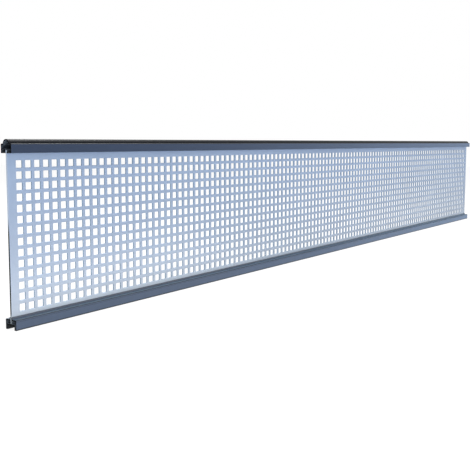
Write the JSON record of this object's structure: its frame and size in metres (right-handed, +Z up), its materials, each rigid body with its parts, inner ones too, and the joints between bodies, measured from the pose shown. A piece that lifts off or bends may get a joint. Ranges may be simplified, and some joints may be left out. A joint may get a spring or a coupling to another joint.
{
  "type": "perforated infill panel of a composite fence",
  "caption": "Long low fence infill panel: a metal sheet with square holes held in the slots of a top rail with a tongue and a bottom rail with a groove.",
  "frame": {"origin": "middle of the roof of the groove in the bottom rail, which seats the panel on the tongue of the board below", "axes": "+X along the panel, +Y from the front to the back, +Z up, out of the groove towards the top rail"},
  "size_m": [1.795, 0.0226, 0.2563],
  "materials": {
    "rail_finish": "satin anthracite powder coat on aluminium",
    "sheet_metal": "satin, light blue grey"
  },
  "bodies": {
    "root": {"top_rail": "rail_finish", "perforated_sheet": "sheet_metal", "bottom_rail": "rail_finish"}
  },
  "joints": []
}
